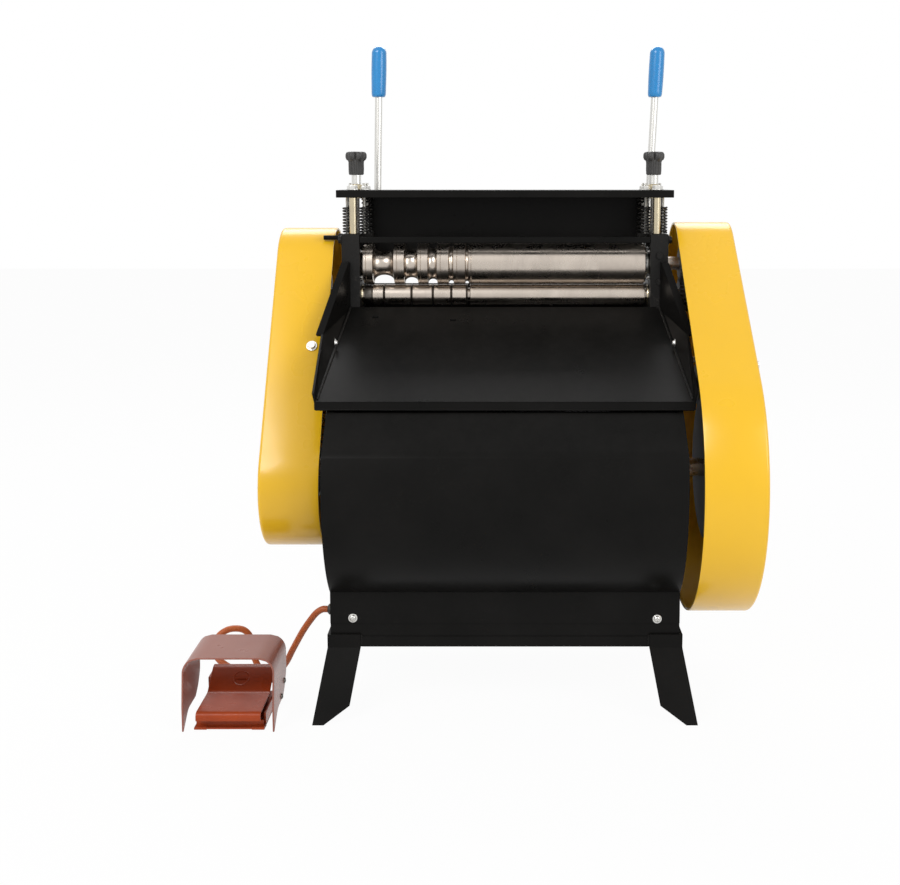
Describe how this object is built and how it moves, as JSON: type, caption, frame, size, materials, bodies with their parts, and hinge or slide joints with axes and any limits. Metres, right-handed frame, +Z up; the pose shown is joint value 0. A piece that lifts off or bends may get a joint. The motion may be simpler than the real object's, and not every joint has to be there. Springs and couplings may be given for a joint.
{
  "type": "wire stripping machine",
  "caption": "Floor-standing powered wire stripper with grooved rollers, drive guards, lift levers and a corded foot switch",
  "frame": {"origin": "on the floor, at the bottom centre of the machine and its foot switch together", "axes": "+Z up, +Y away from the operator, +X to the operator's right"},
  "size_m": [0.8288, 0.4562, 0.995],
  "materials": {
    "black_paint": "semi-gloss black enamel over sheet steel",
    "yellow_paint": "gloss yellow enamel",
    "polished_steel": "turned and ground steel",
    "zinc_plate": "zinc plated steel",
    "black_plastic": "moulded black plastic",
    "blue_grip": "dipped blue vinyl",
    "cast_iron": "dark cast iron and oiled steel",
    "drive_rubber": "black belt rubber",
    "orange_paint": "red-orange hammered enamel",
    "orange_cable": "orange flexible cable sheath"
  },
  "bodies": {
    "machine": {"front_rail": "black_paint", "rear_rail": "black_paint", "left_rail": "black_paint", "right_rail": "black_paint", "front_left_leg": "black_paint", "front_right_leg": "black_paint", "rear_left_leg": "black_paint", "rear_right_leg": "black_paint", "left_side_plate": "black_paint", "right_side_plate": "black_paint", "drum_cover": "black_paint", "rear_cover": "black_paint", "left_post": "black_paint", "right_post": "black_paint", "front_tie_bar": "black_paint", "top_plate": "black_paint", "rear_guard": "black_paint", "feed_tray": "black_paint", "left_lever_bracket": "black_paint", "right_lever_bracket": "black_paint", "motor_shelf": "black_paint", "left_guard": "yellow_paint", "right_guard": "yellow_paint", "drive_chain": "polished_steel", "lower_left_bush": "zinc_plate", "lower_right_bush": "zinc_plate", "left_guide_column": "zinc_plate", "right_guide_column": "zinc_plate", "left_guard_stud": "zinc_plate", "right_guard_stud": "zinc_plate", "cable_gland": "black_plastic", "motor": "cast_iron", "left_return_spring": "cast_iron", "right_return_spring": "cast_iron", "drive_belt": "drive_rubber", "foot_switch_hood": "orange_paint", "foot_switch_base": "orange_paint", "foot_switch_cable": "orange_cable"},
    "upper_carriage": {"upper_left_bearing_block": "polished_steel", "upper_right_bearing_block": "polished_steel"},
    "upper_roller_body": {"upper_roller": "polished_steel", "upper_roller_gear": "cast_iron"},
    "lower_roller_body": {"lower_shaft": "polished_steel", "feed_sleeve": "polished_steel", "cutter_stack": "polished_steel", "lower_roller_gear": "cast_iron", "roller_sprocket": "cast_iron"},
    "countershaft_body": {"countershaft": "polished_steel", "countershaft_pulley": "cast_iron", "countershaft_sprocket": "cast_iron"},
    "motor_rotor": {"motor_pulley": "cast_iron"},
    "left_knob": {"left_adjusting_screw": "zinc_plate", "left_star_knob": "black_plastic"},
    "right_knob": {"right_adjusting_screw": "zinc_plate", "right_star_knob": "black_plastic"},
    "left_lift_lever": {"left_lever": "zinc_plate", "left_lever_grip": "blue_grip"},
    "right_lift_lever": {"right_lever": "zinc_plate", "right_lever_grip": "blue_grip"},
    "pedal": {"foot_pedal": "orange_paint"}
  },
  "joints": [
    {"name": "lower_roller_spin", "type": "hinge", "parent": "machine", "child": "lower_roller_body", "pos_m": [0.043, 0.12363, 0.59], "axis": [1, 0, 0], "continuous": true},
    {"name": "upper_roller_lift", "type": "slide", "parent": "machine", "child": "upper_carriage", "axis": [0, 0, 1], "range_m": [0, 0.01]},
    {"name": "upper_roller_spin", "type": "hinge", "parent": "upper_carriage", "child": "upper_roller_body", "pos_m": [0.043, 0.12363, 0.641], "axis": [1, 0, 0], "continuous": true},
    {"name": "countershaft_spin", "type": "hinge", "parent": "machine", "child": "countershaft_body", "pos_m": [0.043, -0.01637, 0.336], "axis": [1, 0, 0], "continuous": true},
    {"name": "motor_spin", "type": "hinge", "parent": "machine", "child": "motor_rotor", "pos_m": [0.043, 0.06763, 0.452], "axis": [1, 0, 0], "continuous": true},
    {"name": "pedal_press", "type": "hinge", "parent": "machine", "child": "pedal", "pos_m": [-0.3485, -0.10037, 0.03], "axis": [1, 0, 0], "range_deg": [0, 6], "stiffness_Nm_per_rad": 3, "springref_deg": -6.88},
    {"name": "left_knob_turn", "type": "hinge", "parent": "upper_carriage", "child": "left_knob", "pos_m": [-0.197, 0.12363, 0.76], "axis": [0, 0, 1], "continuous": true},
    {"name": "left_lever_swing", "type": "hinge", "parent": "machine", "child": "left_lift_lever", "pos_m": [-0.1715, 0.18963, 0.668], "axis": [1, 0, 0], "range_deg": [-75, 0]},
    {"name": "right_knob_turn", "type": "hinge", "parent": "upper_carriage", "child": "right_knob", "pos_m": [0.283, 0.12363, 0.76], "axis": [0, 0, 1], "continuous": true},
    {"name": "right_lever_swing", "type": "hinge", "parent": "machine", "child": "right_lift_lever", "pos_m": [0.28, 0.18963, 0.668], "axis": [1, 0, 0], "range_deg": [-75, 0]}
  ],
  "couplings": [
    {"joint": "upper_roller_spin", "follows": "lower_roller_spin", "ratio": -1},
    {"joint": "countershaft_spin", "follows": "lower_roller_spin", "ratio": 1},
    {"joint": "motor_spin", "follows": "lower_roller_spin", "ratio": 3.816}
  ]
}
